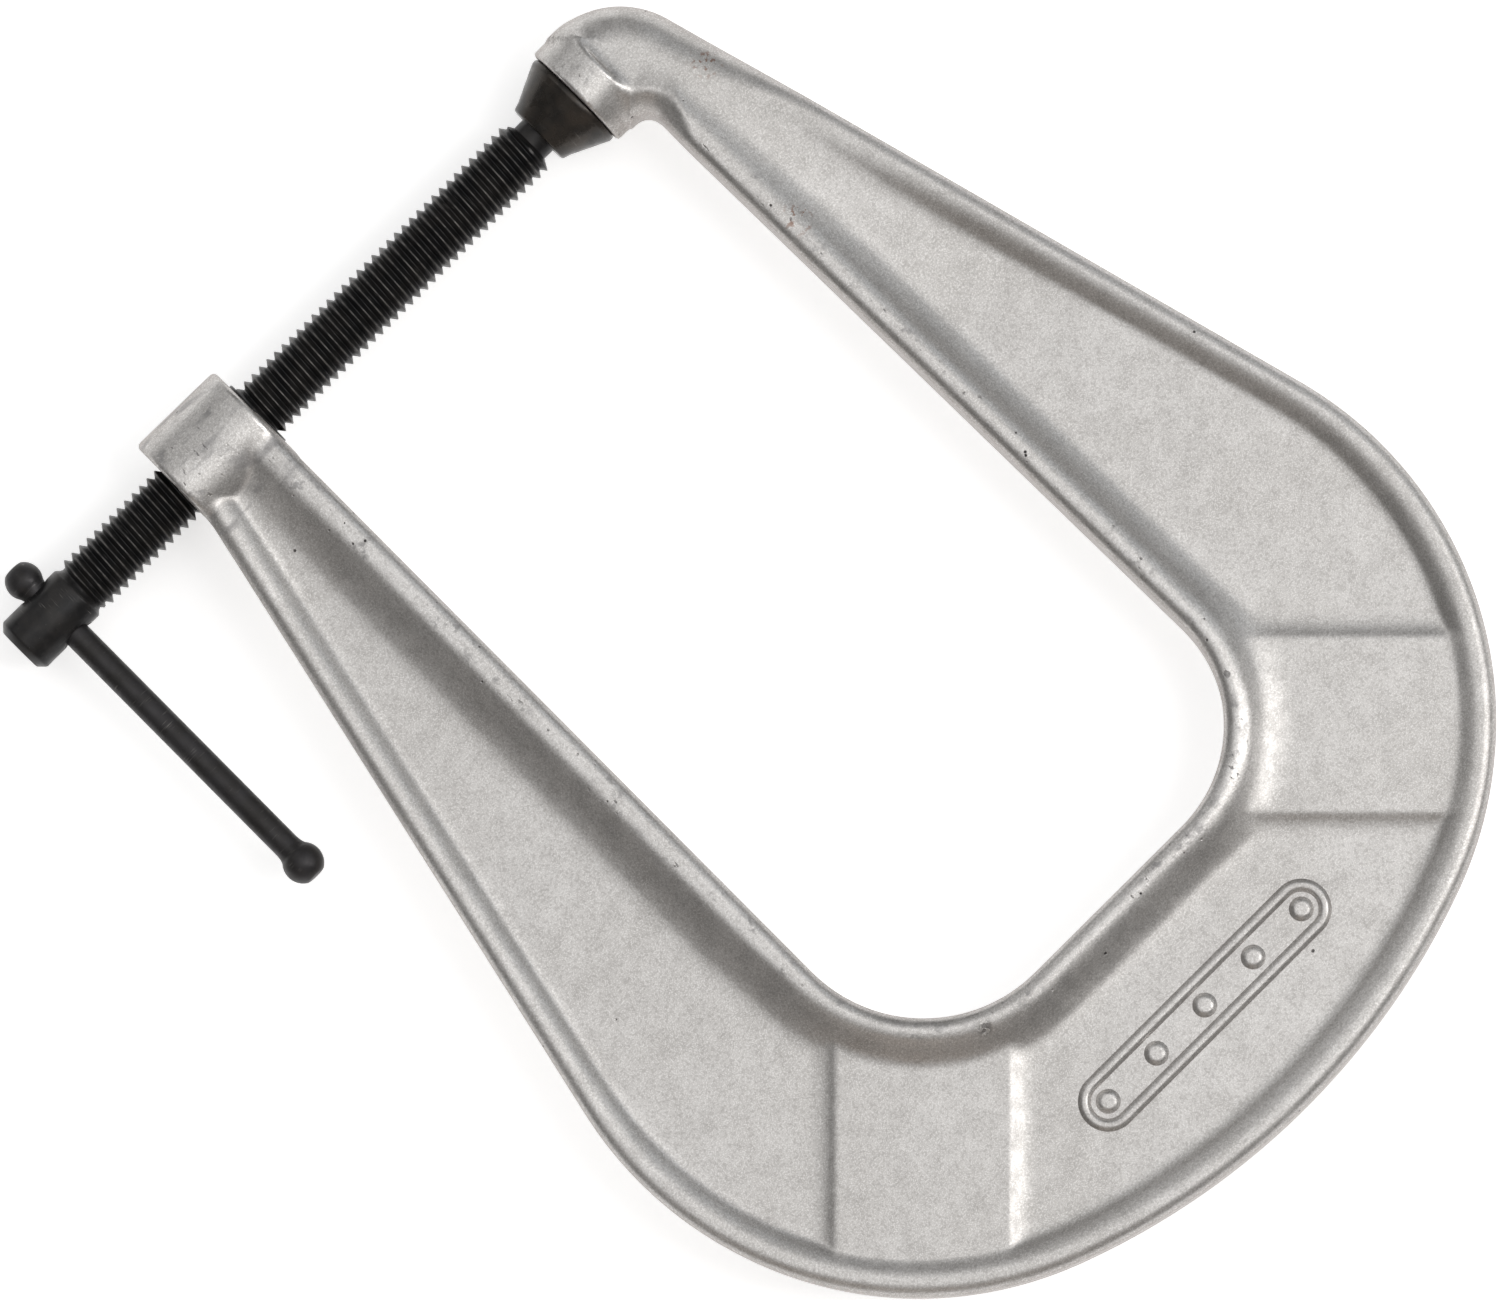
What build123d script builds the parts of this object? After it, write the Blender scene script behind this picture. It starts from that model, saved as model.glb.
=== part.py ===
from build123d import *
import math
import os

# Deep-throat C clamp, lying flat on its side. Lengths in mm.
# X runs along the screw, from the handle towards the anvil. The origin is the centre of the anvil's
# face, the throat opens towards -Y, and Z is square to the plane of the clamp, with Z = 0 half way.

# --- cast frame: the throat -------------------------------------------------------------------
boss_gap = 77.3  # anvil's face to the boss's inner face
throat_depth = 162.8  # screw's axis to the back of the throat
anvil_height = 7.2  # anvil's face to the upper arm's inner edge, at the anvil
upper_draft = 0.8  # degrees that the upper arm's inner edge opens towards the back
throat_corner_upper = 24.3  # inner corner radius on the anvil's side
throat_corner_lower = 26.9  # inner corner radius on the screw's side
anvil_corner = 3.4  # radius between the anvil and the upper arm
anvil_length = 3.0  # round part of the anvil, before the arm's body starts

# --- cast frame: the outside ------------------------------------------------------------------
back_thickness = 48.5  # back of the throat to the outside, on the middle line
back_radius = 131.0  # outside curve of the back
back_corner = 67.0  # outside corners of the back
arm_angle_upper = 14.85  # degrees between the upper arm's outside and the Y axis
arm_angle_lower = 12.43  # the same for the lower arm
upper_root = 20.2  # anvil's face to the upper arm's outside, on the screw's axis
anvil_round = 16.3  # outside radius over the anvil

# --- cast frame: the section ------------------------------------------------------------------
frame_thickness = 18.6  # over both rims, along Z
rim_width = 5.4  # across a rim, in the clamp's plane
rim_edge = 2.2  # rounding of the rims' outer edges
wall_draft = 22.0  # degrees of slope between a rim and the web
web_arm = 8.4  # web thickness in the arms and behind the throat
web_pad = 10.8  # web thickness in the two stiffened corners
corner_pad_width = 29.7  # the stiffened corners, each a band on the diagonal through a throat corner

# --- anvil, boss and bushing --------------------------------------------------------------------
anvil_diameter = 20.7
boss_diameter = 21.4
boss_length = 18.5
boss_edge = 1.0  # chamfer of the boss's outer end
bushing_wall = 0.71
flange_overhang = 0.35  # how far the flange stands out past the sleeve
flange_thickness = 0.5

# --- raised foundry mark on the back ------------------------------------------------------------
mark_length = 56.0
mark_width = 9.6
mark_band = 1.5
mark_height = 0.8
mark_pips = 5
mark_pip_diameter = 3.4

# --- screw --------------------------------------------------------------------------------------
thread_diameter = 11.11
thread_pitch = 25.4 / 14
thread_depth = 1.0
thread_length = 109.0
ball_diameter = 8.8
neck_step = 0.7  # radial, ball to neck
neck_length = 2.1  # clear neck between the pad and the first thread
head_diameter = 10.8
head_length = 14.4
head_chamfer = 1.3
hole_from_end = 8.8  # cross hole's axis to the end of the head

# --- swivel pad ---------------------------------------------------------------------------------
pad_diameter = 18.9
pad_band = 1.0  # straight band beside the pad's face
pad_length = 9.0
pad_small_diameter = 11.7
pad_edge = 0.5
socket_floor = 0.82  # metal between the pad's face and the socket

# --- sliding handle -----------------------------------------------------------------------------
bar_diameter = 4.76
near_ball_diameter = 6.6
far_ball_diameter = 7.2
ball_spacing = 68.5  # between the centres of the two balls

# --- fits and gaps ------------------------------------------------------------------------------
closed_gap = 0.1  # pad's face to the anvil with the clamp closed
thread_clearance = 0.08  # radial, crest to bushing
socket_clearance = 0.08  # radial, ball to socket
lip_clearance = 0.3  # radial, neck to the pad's lip
bar_clearance = 0.08  # radial, bar to the cross hole
ball_gap = 0.35  # near ball to its seat on the rim of the cross hole

# Places worked out from the sizes above.
boss_face_x = -boss_gap
boss_end_x = boss_face_x - boss_length
anvil_r = anvil_diameter / 2
boss_r = boss_diameter / 2
rim_z = frame_thickness / 2
bore_r = thread_diameter / 2 + thread_clearance
bushing_r = bore_r + bushing_wall
flange_r = bushing_r + flange_overhang
ball_r = ball_diameter / 2
neck_r = ball_r - neck_step
socket_r = ball_r + socket_clearance
pad_face_x = -closed_gap
pad_end_x = pad_face_x - pad_length
ball_x = pad_face_x - socket_floor - socket_r
thread_start_x = pad_end_x - neck_length
thread_end_x = thread_start_x - thread_length
head_end_x = thread_end_x - head_length
hole_x = head_end_x + hole_from_end
head_r = head_diameter / 2
hole_r = bar_diameter / 2 + bar_clearance
near_ball_r = near_ball_diameter / 2
near_ball_y = head_r + math.sqrt(near_ball_r**2 - hole_r**2) + ball_gap
far_ball_y = near_ball_y - ball_spacing
throat_back_x = anvil_height + throat_depth * math.tan(math.radians(upper_draft))
middle_x = (throat_back_x + boss_face_x) / 2
outside_y = -(throat_depth + back_thickness)
back_centre = Vector(middle_x, outside_y + back_radius)
past_face = 1.0  # how far a bore's cut runs past the faces it opens
near = 0.01  # two places this close are the same


def along_x(x, y=0.0, z=0.0):
    """A plane square to X, with its own Z along +X."""
    return Plane(origin=(x, y, z), x_dir=(0, 1, 0), z_dir=(1, 0, 0))


def cylinder_x(radius, x_from, x_to):
    """A solid cylinder on the screw's axis."""
    return extrude(along_x(x_from) * Circle(radius), amount=x_to - x_from)


def turned(points):
    """A solid turned about the screw's axis from an outline of (x, radius) points."""
    return revolve(make_face(Polyline(*points, close=True)), axis=Axis.X)


def outside_outline():
    """Area inside the clamp's outer contour, with the throat still filled."""
    reach = 2 * (throat_depth + back_thickness)
    upper_slope = math.tan(math.radians(arm_angle_upper))
    lower_slope = math.tan(math.radians(arm_angle_lower))
    arm_start_y = -boss_r / math.sqrt(2)  # where the lower arm's outside leaves the boss
    area = make_face(
        Polyline(
            (boss_face_x, 0),
            (anvil_length, 0),
            (anvil_length, anvil_r),
            (upper_root - anvil_r * upper_slope, anvil_r),
            (upper_root + reach * upper_slope, -reach),
            (boss_end_x - (reach + arm_start_y) * lower_slope, -reach),
            (boss_end_x, arm_start_y),
            (boss_end_x, 0),
            close=True,
        )
    )
    over_anvil = area.vertices().group_by(Axis.Y)[-1].sort_by(Axis.X)[-1]
    area = fillet(over_anvil, anvil_round)
    near_half = Pos(middle_x, back_centre.Y + reach / 2) * Rectangle(2 * reach, reach)
    area = area & (near_half + Pos(back_centre) * Circle(back_radius))
    corners = [
        v
        for v in area.vertices()
        if abs((v.center() - back_centre).length - back_radius) < near and v.Y < back_centre.Y
    ]
    return fillet(corners, back_corner)


def throat_outline():
    """Area of the throat, open past the screw."""
    area = make_face(
        Polyline(
            (boss_face_x, anvil_diameter),
            (boss_face_x, -throat_depth),
            (throat_back_x, -throat_depth),
            (anvil_height, -anvil_r),
            (anvil_length, -anvil_r),
            (anvil_length, anvil_diameter),
            close=True,
        )
    )
    by_depth = area.vertices().group_by(Axis.Y)
    area = fillet(by_depth[0].sort_by(Axis.X)[-1], throat_corner_upper)
    area = fillet(area.vertices().group_by(Axis.Y)[0].sort_by(Axis.X)[0], throat_corner_lower)
    beside_anvil = [v for v in area.vertices() if abs(v.Y + anvil_r) < near]
    return fillet(max(beside_anvil, key=lambda v: v.X), anvil_corner)


def frame_outline():
    return outside_outline() - throat_outline()


def stiffened_corners():
    """Bands on the diagonals of the throat's two corners, where the web is thicker."""
    band = Rectangle(4 * back_thickness, corner_pad_width)
    upper = Pos(throat_back_x, -throat_depth) * Rot(0, 0, -45) * band
    lower = Pos(boss_face_x, -throat_depth) * Rot(0, 0, 45) * band
    return upper + lower


def pocket():
    """What one side's recesses take out between the rims, down to the web."""
    rim_inside = offset(frame_outline(), amount=-rim_width)
    pad_z = web_pad / 2
    web_z = web_arm / 2
    slope = math.tan(math.radians(wall_draft))
    at_pad_level = offset(rim_inside, amount=-(rim_z - pad_z) * slope)
    deeper = at_pad_level - stiffened_corners()
    upper = extrude(Pos(0, 0, rim_z) * rim_inside, amount=pad_z - rim_z, taper=wall_draft)
    lower = extrude(Pos(0, 0, pad_z) * deeper, amount=web_z - pad_z, taper=wall_draft)
    return upper, lower


def foundry_mark():
    """Raised band with a row of round pips, on the web behind the throat."""
    ends = mark_length - mark_width
    band = SlotCenterToCenter(ends, mark_width)
    band -= SlotCenterToCenter(ends, mark_width - 2 * mark_band)
    pips = GridLocations(ends / (mark_pips - 1), 0, mark_pips, 1) * Circle(mark_pip_diameter / 2)
    centre = Pos(middle_x, -(throat_depth + back_thickness / 2), web_arm / 2)
    return extrude(centre * (band + pips), amount=mark_height)


def frame_casting():
    """Rimmed C body with the anvil's round end, the boss and its bore."""
    body = extrude(frame_outline(), amount=rim_z, both=True)
    rim_edges = [e for e in body.edges() if abs(e.center().Z) > rim_z - near]
    body = fillet(rim_edges, rim_edge)
    for cut in pocket():
        body -= cut
        body -= mirror(cut, about=Plane.XY)
    body += foundry_mark()
    body += cylinder_x(anvil_r, 0, anvil_height)
    boss = cylinder_x(boss_r, boss_end_x, boss_face_x)
    body += chamfer(boss.edges().sort_by(Axis.X)[0], boss_edge)
    return body - cylinder_x(bushing_r, boss_end_x - past_face, boss_face_x + past_face)


def threaded_bushing():
    """Flanged steel sleeve that takes the thrust on the boss's inner face."""
    sleeve = cylinder_x(bushing_r, boss_end_x, boss_face_x)
    flange = cylinder_x(flange_r, boss_face_x, boss_face_x + flange_thickness)
    return sleeve + flange - cylinder_x(bore_r, boss_end_x - past_face, boss_face_x + past_face)


def thread_profile():
    """Points (x, radius) of the thread's ridges, from the neck to the head."""
    crest_r = thread_diameter / 2
    root_r = crest_r - thread_depth
    flat = thread_pitch / 8
    points = []
    for turn in range(int(thread_length / thread_pitch)):
        x = thread_start_x - turn * thread_pitch
        points += [
            (x, root_r),
            (x - (thread_pitch - flat) / 2, crest_r),
            (x - (thread_pitch + flat) / 2, crest_r),
        ]
    return points + [(thread_end_x, root_r)]


def screw():
    """Spindle with its ball, neck, ridged length, plain head and cross hole."""
    spindle = turned(
        [
            (ball_x, 0),
            (ball_x, neck_r),
            (thread_start_x, neck_r),
            *thread_profile(),
            (thread_end_x, head_r),
            (head_end_x + head_chamfer, head_r),
            (head_end_x, head_r - head_chamfer),
            (head_end_x, 0),
        ]
    )
    spindle += Pos(ball_x, 0, 0) * Sphere(ball_r)
    hole = Pos(hole_x, 0, 0) * Rot(90, 0, 0) * Cylinder(hole_r, 2 * head_diameter)
    return spindle - hole


def swivel_pad():
    """Conical pad, held on the ball by the lip of its socket."""
    small_r = pad_small_diameter / 2
    face_r = pad_diameter / 2
    cone = turned(
        [
            (pad_face_x, 0),
            (pad_face_x, face_r - pad_edge),
            (pad_face_x - pad_edge, face_r),
            (pad_face_x - pad_band, face_r),
            (pad_end_x + pad_edge, small_r),
            (pad_end_x, small_r - pad_edge),
            (pad_end_x, 0),
        ]
    )
    socket = Pos(ball_x, 0, 0) * Sphere(socket_r)
    lip = cylinder_x(neck_r + lip_clearance, pad_end_x - past_face, ball_x)
    return cone - socket - lip


def tommy_bar():
    """Sliding handle with a ball at each end."""
    middle_y = (near_ball_y + far_ball_y) / 2
    rod = Pos(hole_x, middle_y, 0) * Rot(90, 0, 0) * Cylinder(bar_diameter / 2, ball_spacing)
    near_ball = Pos(hole_x, near_ball_y, 0) * Sphere(near_ball_r)
    far_ball = Pos(hole_x, far_ball_y, 0) * Sphere(far_ball_diameter / 2)
    return rod + near_ball + far_ball


def main():
    nodes = {
        "frame_casting": frame_casting(),
        "threaded_bushing": threaded_bushing(),
        "screw": screw(),
        "swivel_pad": swivel_pad(),
        "tommy_bar": tommy_bar(),
    }
    os.makedirs("parts", exist_ok=True)
    for name, shape in nodes.items():
        shape.label = name
        export_step(shape, f"parts/{name}.step")
        print(name, round(shape.volume), "mm3")


if __name__ == "__main__":
    main()
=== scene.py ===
import logging
import math
from dataclasses import dataclass, replace
from enum import Enum

import bpy
import numpy as np
from mathutils import Matrix, Vector


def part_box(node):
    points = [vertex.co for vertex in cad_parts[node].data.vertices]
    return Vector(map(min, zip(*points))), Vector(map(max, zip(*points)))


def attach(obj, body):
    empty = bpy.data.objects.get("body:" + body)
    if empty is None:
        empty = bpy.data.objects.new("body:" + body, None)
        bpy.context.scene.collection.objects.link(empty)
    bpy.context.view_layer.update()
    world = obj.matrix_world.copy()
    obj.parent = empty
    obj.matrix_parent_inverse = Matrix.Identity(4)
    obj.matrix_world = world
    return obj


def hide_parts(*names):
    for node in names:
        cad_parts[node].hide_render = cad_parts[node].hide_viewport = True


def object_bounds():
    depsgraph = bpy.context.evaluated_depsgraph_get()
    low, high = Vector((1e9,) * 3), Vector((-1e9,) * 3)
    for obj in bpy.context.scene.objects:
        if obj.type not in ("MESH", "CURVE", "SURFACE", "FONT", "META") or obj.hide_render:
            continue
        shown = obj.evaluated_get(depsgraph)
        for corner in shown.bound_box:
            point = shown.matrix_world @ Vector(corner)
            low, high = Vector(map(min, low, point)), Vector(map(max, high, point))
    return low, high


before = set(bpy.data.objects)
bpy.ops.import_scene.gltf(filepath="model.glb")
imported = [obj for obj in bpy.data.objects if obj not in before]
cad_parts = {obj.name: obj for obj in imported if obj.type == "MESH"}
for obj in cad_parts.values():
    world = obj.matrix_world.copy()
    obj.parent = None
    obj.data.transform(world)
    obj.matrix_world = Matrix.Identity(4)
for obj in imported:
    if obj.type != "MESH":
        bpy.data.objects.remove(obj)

CAD_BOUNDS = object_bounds()
MM = 0.001
FAR = 50.0  # a distance past every slope, in millimetres
PAST = 40.0  # how far the outlines run on beyond the ends
log = logging.getLogger("clamp")

Points = list[tuple[float, float]]
Colour = tuple[float, float, float]
Place = tuple[float, float, float]  # a point, or three numbers like one
Node = bpy.types.NodeSocket
Piece = bpy.types.Object
WHITE: Colour = (1.0, 1.0, 1.0)


class Body(Enum):
    """CAD bodies that pieces ride on."""

    FRAME = "frame"
    PAD = "pad"
    SPINDLE = "spindle"
    HANDLE = "handle"


class Slot(Enum):
    """Material slots of the record."""

    CAST = "cast_aluminium"
    BLACK = "black_steel"


def node_box(node: str) -> tuple[Vector, Vector]:
    """Corners of a CAD node's box in millimetres.

    Args:
        node: Name of the CAD node.

    Returns:
        Its lowest and highest corners.
    """
    low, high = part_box(node)
    return low / MM, high / MM


def smooth_step(low: float, high: float, value: np.ndarray) -> np.ndarray:
    """Ease from 0 at low to 1 at high.

    Args:
        low: Value that gives 0.
        high: Value that gives 1, which may be the smaller one.
        value: Where to evaluate.

    Returns:
        Eased values, flat outside the two limits.
    """
    part = np.clip((value - low) / (high - low), 0.0, 1.0)
    return part * part * (3.0 - 2.0 * part)


def blend(first: np.ndarray | float, second: np.ndarray | float, share: np.ndarray) -> np.ndarray:
    """Mix two values.

    Args:
        first: Value where the share is 0.
        second: Value where the share is 1.
        share: From 0 to 1.

    Returns:
        The mixed values.
    """
    return first + (second - first) * share


def sunk(
    place: np.ndarray, start: np.ndarray | float, steep: np.ndarray | float, end: np.ndarray | float
) -> np.ndarray:
    """Share of a step's fall, convex up to its steepest place and coved from there on.

    Args:
        place: Where to evaluate.
        start: Where the fall starts.
        steep: Where it is steepest.
        end: Where it ends.

    Returns:
        From 0 at the start to 1 at the end.
    """
    d = np.clip(place, start, end)
    convex = (d - start) ** 2 / ((steep - start) * (end - start))
    coved = 1.0 - (end - d) ** 2 / ((end - steep) * (end - start))
    return np.where(d < steep, convex, coved)


def soft_join(first: np.ndarray, second: np.ndarray, fillet: np.ndarray | float) -> np.ndarray:
    """Join two solids' distance fields with a fillet between them.

    Args:
        first: Distances to one solid, negative inside it.
        second: Distances to the other.
        fillet: Width of the fillet in millimetres.

    Returns:
        Distances to the joined solid.
    """
    share = np.clip(0.5 + 0.5 * (second - first) / fillet, 0.0, 1.0)
    return blend(second, first, share) - fillet * share * (1.0 - share)


def rounded_meet(first: np.ndarray, second: np.ndarray, radius: np.ndarray | float) -> np.ndarray:
    """Intersect two distance fields with a round of a given radius on the edge where they meet.

    Args:
        first: Distances to one side's surface, negative inside.
        second: Distances to the other's.
        radius: Radius of the edge.

    Returns:
        Distances to the rounded solid.
    """
    a = first + radius
    b = second + radius
    return np.minimum(np.maximum(a, b), 0.0) + np.hypot(np.maximum(a, 0.0), np.maximum(b, 0.0)) - radius


@dataclass(frozen=True)
class Slope:
    """Where a rim's slope leaves its crest, is steepest, and reaches the web, measured in from the edge."""

    crest: np.ndarray | float
    steep: np.ndarray | float
    foot: np.ndarray | float

    def eased(self, other: "Slope", share: np.ndarray) -> "Slope":
        """This slope, turned into another by a share from 0 to 1."""
        pairs = ((self.crest, other.crest), (self.steep, other.steep), (self.foot, other.foot))
        return Slope(*(blend(mine, new, share) for mine, new in pairs))

    def fall(self, inset: np.ndarray) -> np.ndarray:
        """Share of the fall from the crest to the web, at places this far in from the edge."""
        return sunk(inset, self.crest, self.steep, self.foot)


@dataclass(frozen=True)
class Zone:
    """Round zone about a place in the clamp's plane: full near it, and gone farther out."""

    x: float
    y: float
    full: float
    gone: float

    def share(self, x: np.ndarray, y: np.ndarray) -> np.ndarray:
        """How much of the zone reaches each place, from 0 to 1."""
        return 1.0 - smooth_step(self.full, self.gone, np.hypot(x - self.x, y - self.y))


def arc(centre: np.ndarray, radius: float, start: float, end: float, spacing: float = 1.0) -> Points:
    """Points along an arc.

    Args:
        centre: Centre of the arc.
        radius: Its radius.
        start: First angle in radians.
        end: Last angle in radians.
        spacing: Greatest distance between points.

    Returns:
        Points from the first angle to the last.
    """
    count = max(3, math.ceil(abs(end - start) * radius / spacing) + 1)
    return [
        (centre[0] + radius * math.cos(t), centre[1] + radius * math.sin(t))
        for t in np.linspace(start, end, count)
    ]


def corner(before: Points, at: tuple[float, float], after: Points, radius: float) -> Points:
    """Arc that rounds the corner between two straight runs.

    Args:
        before: One point, on the run that leads in.
        at: The sharp corner.
        after: One point, on the run that leads out.
        radius: Radius of the round.

    Returns:
        Points of the arc, in order.
    """
    p = np.array(at)
    u = np.array(before[0]) - p
    v = np.array(after[0]) - p
    u /= np.linalg.norm(u)
    v /= np.linalg.norm(v)
    half = math.acos(float(np.clip(u @ v, -1.0, 1.0))) / 2
    middle = (u + v) / np.linalg.norm(u + v)
    centre = p + middle * radius / math.sin(half)
    reach = radius / math.tan(half)
    start = math.atan2(*(p + u * reach - centre)[::-1])
    end = math.atan2(*(p + v * reach - centre)[::-1])
    turn = (end - start + math.pi) % (2 * math.pi) - math.pi
    return arc(centre, radius, start, start + turn)


def ring_distance(ring: Points, x: np.ndarray, y: np.ndarray) -> np.ndarray:
    """Signed distance to a closed outline.

    Args:
        ring: Points of the outline.
        x: X of the places to measure.
        y: Y of the same places.

    Returns:
        Distances, negative inside the outline.
    """
    best = np.full(x.shape, np.inf)
    inside = np.zeros(x.shape, bool)
    for (x0, y0), (x1, y1) in zip(ring, ring[1:] + ring[:1]):
        dx, dy = x1 - x0, y1 - y0
        length = dx * dx + dy * dy
        if length == 0.0:
            continue
        along = np.clip(((x - x0) * dx + (y - y0) * dy) / length, 0.0, 1.0)
        best = np.minimum(best, np.hypot(x - x0 - along * dx, y - y0 - along * dy))
        if dy != 0.0:
            crosses = (y0 > y) != (y1 > y)
            inside ^= crosses & (x < x0 + (y - y0) * dx / dy)
    return np.where(inside, -best, best)


def surface_net(field: np.ndarray, origin: np.ndarray, step: float) -> tuple[np.ndarray, np.ndarray]:
    """Turn a sampled distance field into a closed mesh of quads.

    Args:
        field: Distances on a regular grid, negative inside.
        origin: Place of the grid's first sample.
        step: Grid spacing.

    Returns:
        Vertices and quads.
    """
    solid = field < 0.0
    cells = tuple(n - 1 for n in field.shape)
    count = np.zeros(cells, np.int8)
    corners = [(i, j, k) for i in (0, 1) for j in (0, 1) for k in (0, 1)]
    for i, j, k in corners:
        count += solid[i : i + cells[0], j : j + cells[1], k : k + cells[2]]
    active = np.argwhere((count > 0) & (count < 8))
    index = np.full(cells, -1, np.int32)
    index[tuple(active.T)] = np.arange(len(active))
    total = np.zeros((len(active), 3))
    crossings = np.zeros(len(active))
    for a in corners:
        for axis in range(3):
            if a[axis]:
                continue
            b = tuple(1 if n == axis else v for n, v in enumerate(a))
            value_a = field[tuple((active + a).T)]
            value_b = field[tuple((active + b).T)]
            cut = (value_a < 0.0) != (value_b < 0.0)
            share = np.where(cut, value_a / np.where(cut, value_a - value_b, 1.0), 0.0)
            place = np.array(a, float) + share[:, None] * (np.array(b) - np.array(a))
            total += place * cut[:, None]
            crossings += cut
    vertices = origin + step * (active + total / crossings[:, None])
    quads = []
    for axis in range(3):
        u, v = (axis + 1) % 3, (axis + 2) % 3
        low = [slice(None)] * 3
        high = [slice(None)] * 3
        low[axis], high[axis] = slice(0, -1), slice(1, None)
        edges = np.argwhere(solid[tuple(low)] != solid[tuple(high)])
        edges = edges[(edges[:, u] > 0) & (edges[:, v] > 0)]
        edges = edges[(edges[:, u] < field.shape[u] - 1) & (edges[:, v] < field.shape[v] - 1)]
        du, dv = np.eye(3, dtype=int)[u], np.eye(3, dtype=int)[v]
        quad = np.stack([index[tuple((edges - s).T)] for s in (du * 0, du, du + dv, dv)], 1)
        leaves = solid[tuple(edges.T)]
        quad[~leaves] = quad[~leaves][:, ::-1]
        quads.append(quad)
    return vertices, np.concatenate(quads)


def relax(vertices: np.ndarray, faces: np.ndarray, rounds: int) -> np.ndarray:
    """Smooth a mesh without shrinking it.

    Args:
        vertices: Places of the vertices.
        faces: Quads.
        rounds: How many times to smooth.

    Returns:
        New places.
    """
    a = faces.ravel()
    b = np.roll(faces, -1, axis=1).ravel()
    degree = np.bincount(a, minlength=len(vertices)) + np.bincount(b, minlength=len(vertices))
    for _ in range(rounds):
        for strength in (0.5, -0.52):
            sums = [
                np.bincount(a, side[b], len(side)) + np.bincount(b, side[a], len(side))
                for side in vertices.T
            ]
            mean = np.stack(sums, 1)
            vertices = vertices + strength * (mean / degree[:, None] - vertices)
    return vertices


def new_piece(name: str, vertices: np.ndarray, faces: list, crease: float = 180.0) -> Piece:
    """Make an object from vertices in millimetres.

    Args:
        name: Name of the piece.
        vertices: Places of its vertices.
        faces: Its faces.
        crease: Degrees between faces above which their shared edge is shaded sharp.

    Returns:
        The object, linked to the scene.
    """
    mesh = bpy.data.meshes.new(name)
    mesh.from_pydata((np.asarray(vertices) * MM).tolist(), [], faces)
    mesh.validate()
    mesh.shade_smooth()
    if crease < 180.0:
        mesh.set_sharp_from_angle(angle=math.radians(crease))
    piece = bpy.data.objects.new(name, mesh)
    bpy.context.scene.collection.objects.link(piece)
    return piece


def welded(vertices: np.ndarray, faces: np.ndarray) -> tuple[np.ndarray, list[list[int]]]:
    """Merge vertices that share a place and drop the faces that close up.

    Args:
        vertices: Places of the vertices.
        faces: Quads, by index.

    Returns:
        The vertices that are left and the faces that are left.
    """
    _, first, back = np.unique(np.round(vertices, 5), axis=0, return_index=True, return_inverse=True)
    kept = []
    for quad in back.reshape(-1)[faces].tolist():
        face = [v for n, v in enumerate(quad) if v != quad[n - 1]]
        if len(set(face)) == len(face) > 2:
            kept.append(face)
    return vertices[first], kept


def closed_quads(rows: int, columns: int) -> np.ndarray:
    """Quads of a grid that closes on itself both ways.

    Args:
        rows: Number of rows.
        columns: Vertices in a row.

    Returns:
        The quads, by vertex number.
    """
    ring = np.arange(rows * columns).reshape(rows, columns)
    after = np.roll(ring, -1, axis=0)
    quads = (ring, after, np.roll(after, -1, axis=1), np.roll(ring, -1, axis=1))
    return np.stack(quads, 2).reshape(-1, 4)


def bored(piece: Piece, cutter: Piece, crease: float) -> None:
    """Cut one mesh out of another and discard the cutter.

    Args:
        piece: The mesh that keeps its name.
        cutter: The mesh to take away.
        crease: Degrees above which the result's edges are shaded sharp.
    """
    cut = piece.modifiers.new("bore", "BOOLEAN")
    cut.operation, cut.solver, cut.object = "DIFFERENCE", "EXACT", cutter
    graph = bpy.context.evaluated_depsgraph_get()
    mesh = bpy.data.meshes.new_from_object(piece.evaluated_get(graph))
    piece.modifiers.clear()
    piece.data = mesh
    bpy.data.objects.remove(cutter)
    mesh.shade_smooth()
    mesh.set_sharp_from_angle(angle=math.radians(crease))


def rounded_profile(points: list[Place]) -> Points:
    """Round the corners of a turned profile.

    Args:
        points: Corners as (place along the axis, radius, rounding).

    Returns:
        The profile with an arc at every corner whose rounding isn't 0.
    """
    profile: Points = []
    for n, (place, radius, rounding) in enumerate(points):
        if rounding and 0 < n < len(points) - 1:
            profile += corner([points[n - 1][:2]], (place, radius), [points[n + 1][:2]], rounding)
        else:
            profile.append((place, radius))
    return profile


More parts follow.
